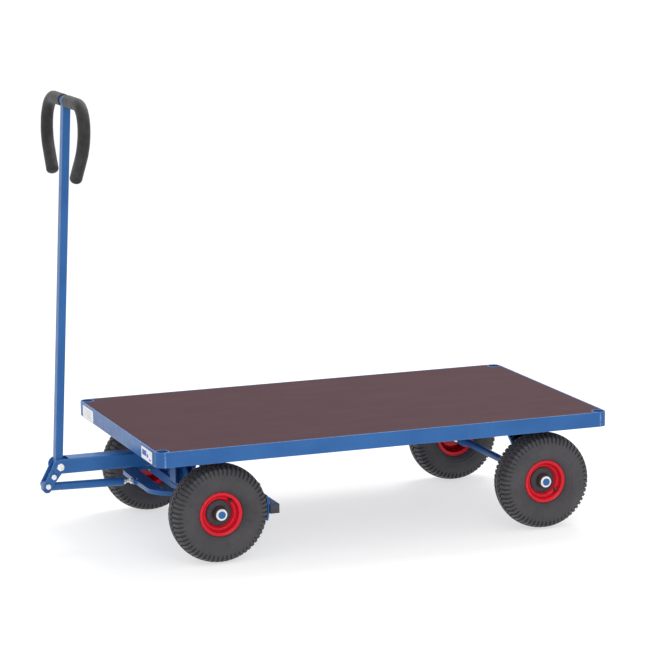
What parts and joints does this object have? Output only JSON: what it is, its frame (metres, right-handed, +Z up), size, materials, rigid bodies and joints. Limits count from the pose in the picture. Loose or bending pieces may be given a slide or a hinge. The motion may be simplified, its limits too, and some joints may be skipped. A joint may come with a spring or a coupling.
{
  "type": "platform trolley",
  "caption": "Platform trolley with turntable steering, an upright swinging drawbar with a loop handle, pneumatic wheels and a drawbar-worked brake on the front tyres.",
  "frame": {"origin": "centre of the overall box on the floor", "axes": "+Z up, +X from the drawbar towards the rear, +Y to the trolley's right; the drawbar end is -X"},
  "size_m": [1.466, 0.725, 1.1935],
  "materials": {
    "blue_paint": "gloss powder coat",
    "deck_ply": "film-faced plywood, fine wire-mesh print",
    "zinc": "bright zinc plate",
    "ball_steel": "polished",
    "grip_foam": "closed-cell foam, matt",
    "black_plastic": "moulded, matt",
    "tyre_rubber": "moulded block tread",
    "red_paint": "gloss stoved paint",
    "valve_rubber": "smooth"
  },
  "bodies": {
    "platform": {"deck_board": "deck_ply", "side_rail_left": "blue_paint", "side_rail_right": "blue_paint", "end_rail_front": "blue_paint", "end_rail_rear": "blue_paint", "corner_socket_front_left": "blue_paint", "corner_socket_front_right": "blue_paint", "corner_socket_rear_left": "blue_paint", "corner_socket_rear_right": "blue_paint", "cross_members": "blue_paint", "turntable_top_plate": "blue_paint", "turntable_bolts": "zinc", "rear_axle": "blue_paint", "rear_axle_retainers": "zinc", "rear_axle_stay_left": "blue_paint", "rear_axle_stay_right": "blue_paint"},
    "steering": {"turntable_disc": "blue_paint", "turntable_balls": "ball_steel", "kingpin": "zinc", "pedestal": "blue_paint", "axle_gussets": "blue_paint", "axle_beam": "blue_paint", "front_axle": "blue_paint", "front_axle_retainers": "zinc", "tow_beam": "blue_paint", "pivot_bolt": "zinc", "brake_guides": "blue_paint"},
    "drawbar": {"drawbar_tube": "blue_paint", "lever_plate_left": "blue_paint", "lever_plate_right": "blue_paint", "lever_bolts": "zinc", "handle_tube": "blue_paint", "handle_grip_left": "grip_foam", "handle_grip_right": "grip_foam"},
    "brake": {"brake_rod_eye": "blue_paint", "brake_rod_tube": "blue_paint", "brake_rod_stud": "zinc", "brake_bow": "blue_paint", "brake_cross_tube": "blue_paint", "brake_tube_caps": "black_plastic", "brake_shoe_left": "blue_paint", "brake_shoe_right": "blue_paint"},
    "wheel_front_left": {"tyre_front_left": "tyre_rubber", "rim_front_left": "red_paint", "hub_front_left": "black_plastic", "inner_tube_front_left": "valve_rubber"},
    "wheel_front_right": {"tyre_front_right": "tyre_rubber", "rim_front_right": "red_paint", "hub_front_right": "black_plastic", "inner_tube_front_right": "valve_rubber"},
    "wheel_rear_left": {"tyre_rear_left": "tyre_rubber", "rim_rear_left": "red_paint", "hub_rear_left": "black_plastic", "inner_tube_rear_left": "valve_rubber"},
    "wheel_rear_right": {"tyre_rear_right": "tyre_rubber", "rim_rear_right": "red_paint", "hub_rear_right": "black_plastic", "inner_tube_rear_right": "valve_rubber"}
  },
  "joints": [
    {"name": "steering", "type": "hinge", "parent": "platform", "child": "steering", "pos_m": [-0.35, 0, 0.255], "axis": [0, 0, 1], "range_deg": [-50, 50]},
    {"name": "drawbar_tilt", "type": "hinge", "parent": "steering", "child": "drawbar", "pos_m": [-0.689, 0, 0.221], "axis": [0, -1, 0], "range_deg": [0, 60]},
    {"name": "brake_slide", "type": "slide", "parent": "steering", "child": "brake", "axis": [1, 0, 0], "range_m": [0, 0.06068]},
    {"name": "spin_front_left", "type": "hinge", "parent": "steering", "child": "wheel_front_left", "pos_m": [-0.35, -0.304, 0.13], "axis": [0, 1, 0], "continuous": true},
    {"name": "spin_front_right", "type": "hinge", "parent": "steering", "child": "wheel_front_right", "pos_m": [-0.35, 0.304, 0.13], "axis": [0, 1, 0], "continuous": true},
    {"name": "spin_rear_left", "type": "hinge", "parent": "platform", "child": "wheel_rear_left", "pos_m": [0.564, -0.304, 0.13], "axis": [0, 1, 0], "continuous": true},
    {"name": "spin_rear_right", "type": "hinge", "parent": "platform", "child": "wheel_rear_right", "pos_m": [0.564, 0.304, 0.13], "axis": [0, 1, 0], "continuous": true}
  ],
  "couplings": [
    {"joint": "brake_slide", "follows": "drawbar_tilt", "m_per_rad": 0.057933}
  ]
}
